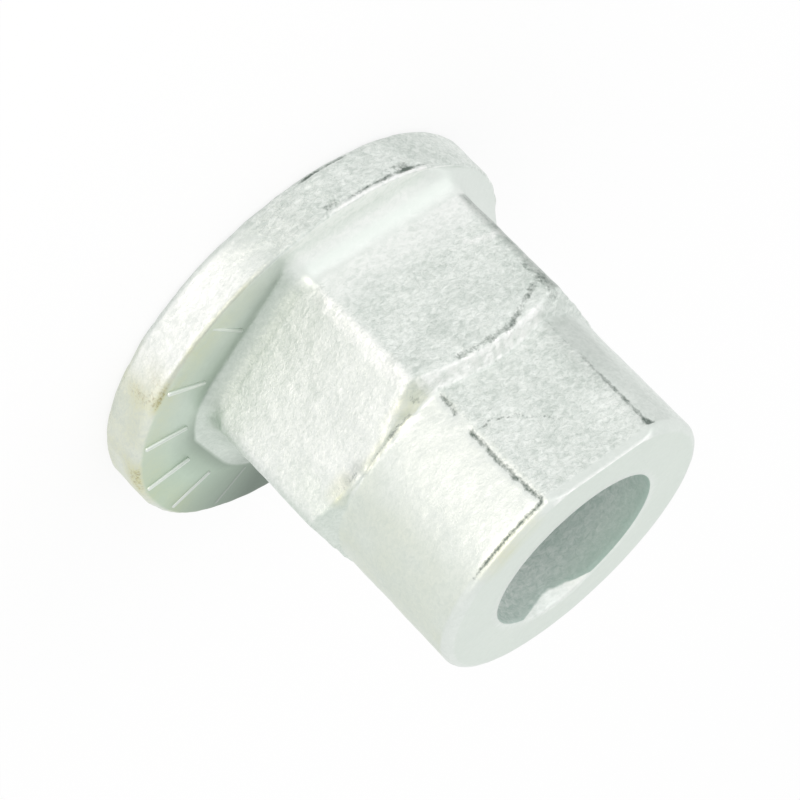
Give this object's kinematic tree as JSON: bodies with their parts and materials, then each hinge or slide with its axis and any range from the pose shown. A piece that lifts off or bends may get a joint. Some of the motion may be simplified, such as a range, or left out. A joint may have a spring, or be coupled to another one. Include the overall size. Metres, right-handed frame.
{
  "type": "eccentric nut",
  "caption": "Galvanised eccentric nut with a plain through bore, a hexagon body, a round nose with a flat, and an offset round flange marked for setting.",
  "frame": {"origin": "on the bore axis, in the plane of the flange's rear face", "axes": "+Z along the bore towards the nose, +X from the bore axis towards the flange's centre, which is also the outward normal of one flat of the hexagon"},
  "size_m": [0.0512, 0.0512, 0.0422],
  "materials": {
    "galvanised_steel": "hot-dip galvanised, matt, over a rough forged surface"
  },
  "bodies": {
    "root": {"eccentric_nut": "galvanised_steel"}
  },
  "joints": []
}
